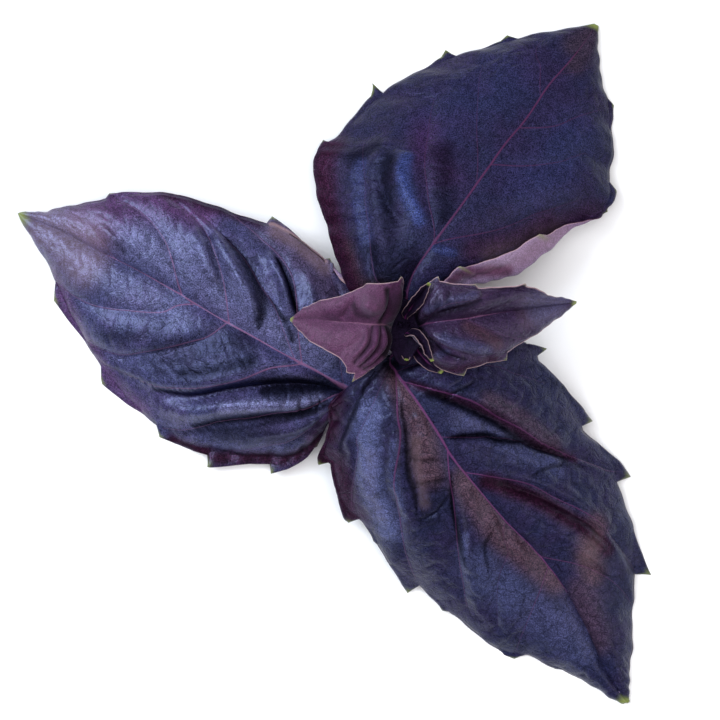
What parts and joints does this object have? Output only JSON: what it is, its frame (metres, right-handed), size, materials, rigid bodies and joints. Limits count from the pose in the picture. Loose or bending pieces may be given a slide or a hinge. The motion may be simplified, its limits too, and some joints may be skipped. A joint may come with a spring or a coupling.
{
  "type": "purple basil bunch",
  "caption": "Cut sprig tip of purple basil lying flat: broad toothed leaves around a heart of small folded leaves on a short square stem.",
  "frame": {"origin": "on the surface that the bunch lies on, under the middle of its box", "axes": "+Z up from the surface, +Y the long way, towards the tip of the upper right leaf, +X to the right of someone who looks down with +Y up"},
  "size_m": [0.1075, 0.1154, 0.0252],
  "materials": {
    "leaf_purple": "satin",
    "leaf_pink": "matte",
    "leaf_purple_young": "satin",
    "stem_purple": "satin"
  },
  "bodies": {
    "root": {"stem": "stem_purple", "large_leaf_left": "leaf_purple", "large_leaf_upper_right": "leaf_purple", "large_leaf_lower_right": "leaf_purple", "young_leaf_left": "leaf_pink", "young_leaf_right": "leaf_purple_young", "inner_leaf_upper": "leaf_purple_young", "inner_leaf_lower": "leaf_purple_young", "bud_leaf_1": "leaf_purple_young", "bud_leaf_2": "leaf_purple_young", "side_shoot_leaf_1": "leaf_purple_young", "side_shoot_leaf_2": "leaf_purple_young"}
  },
  "joints": []
}
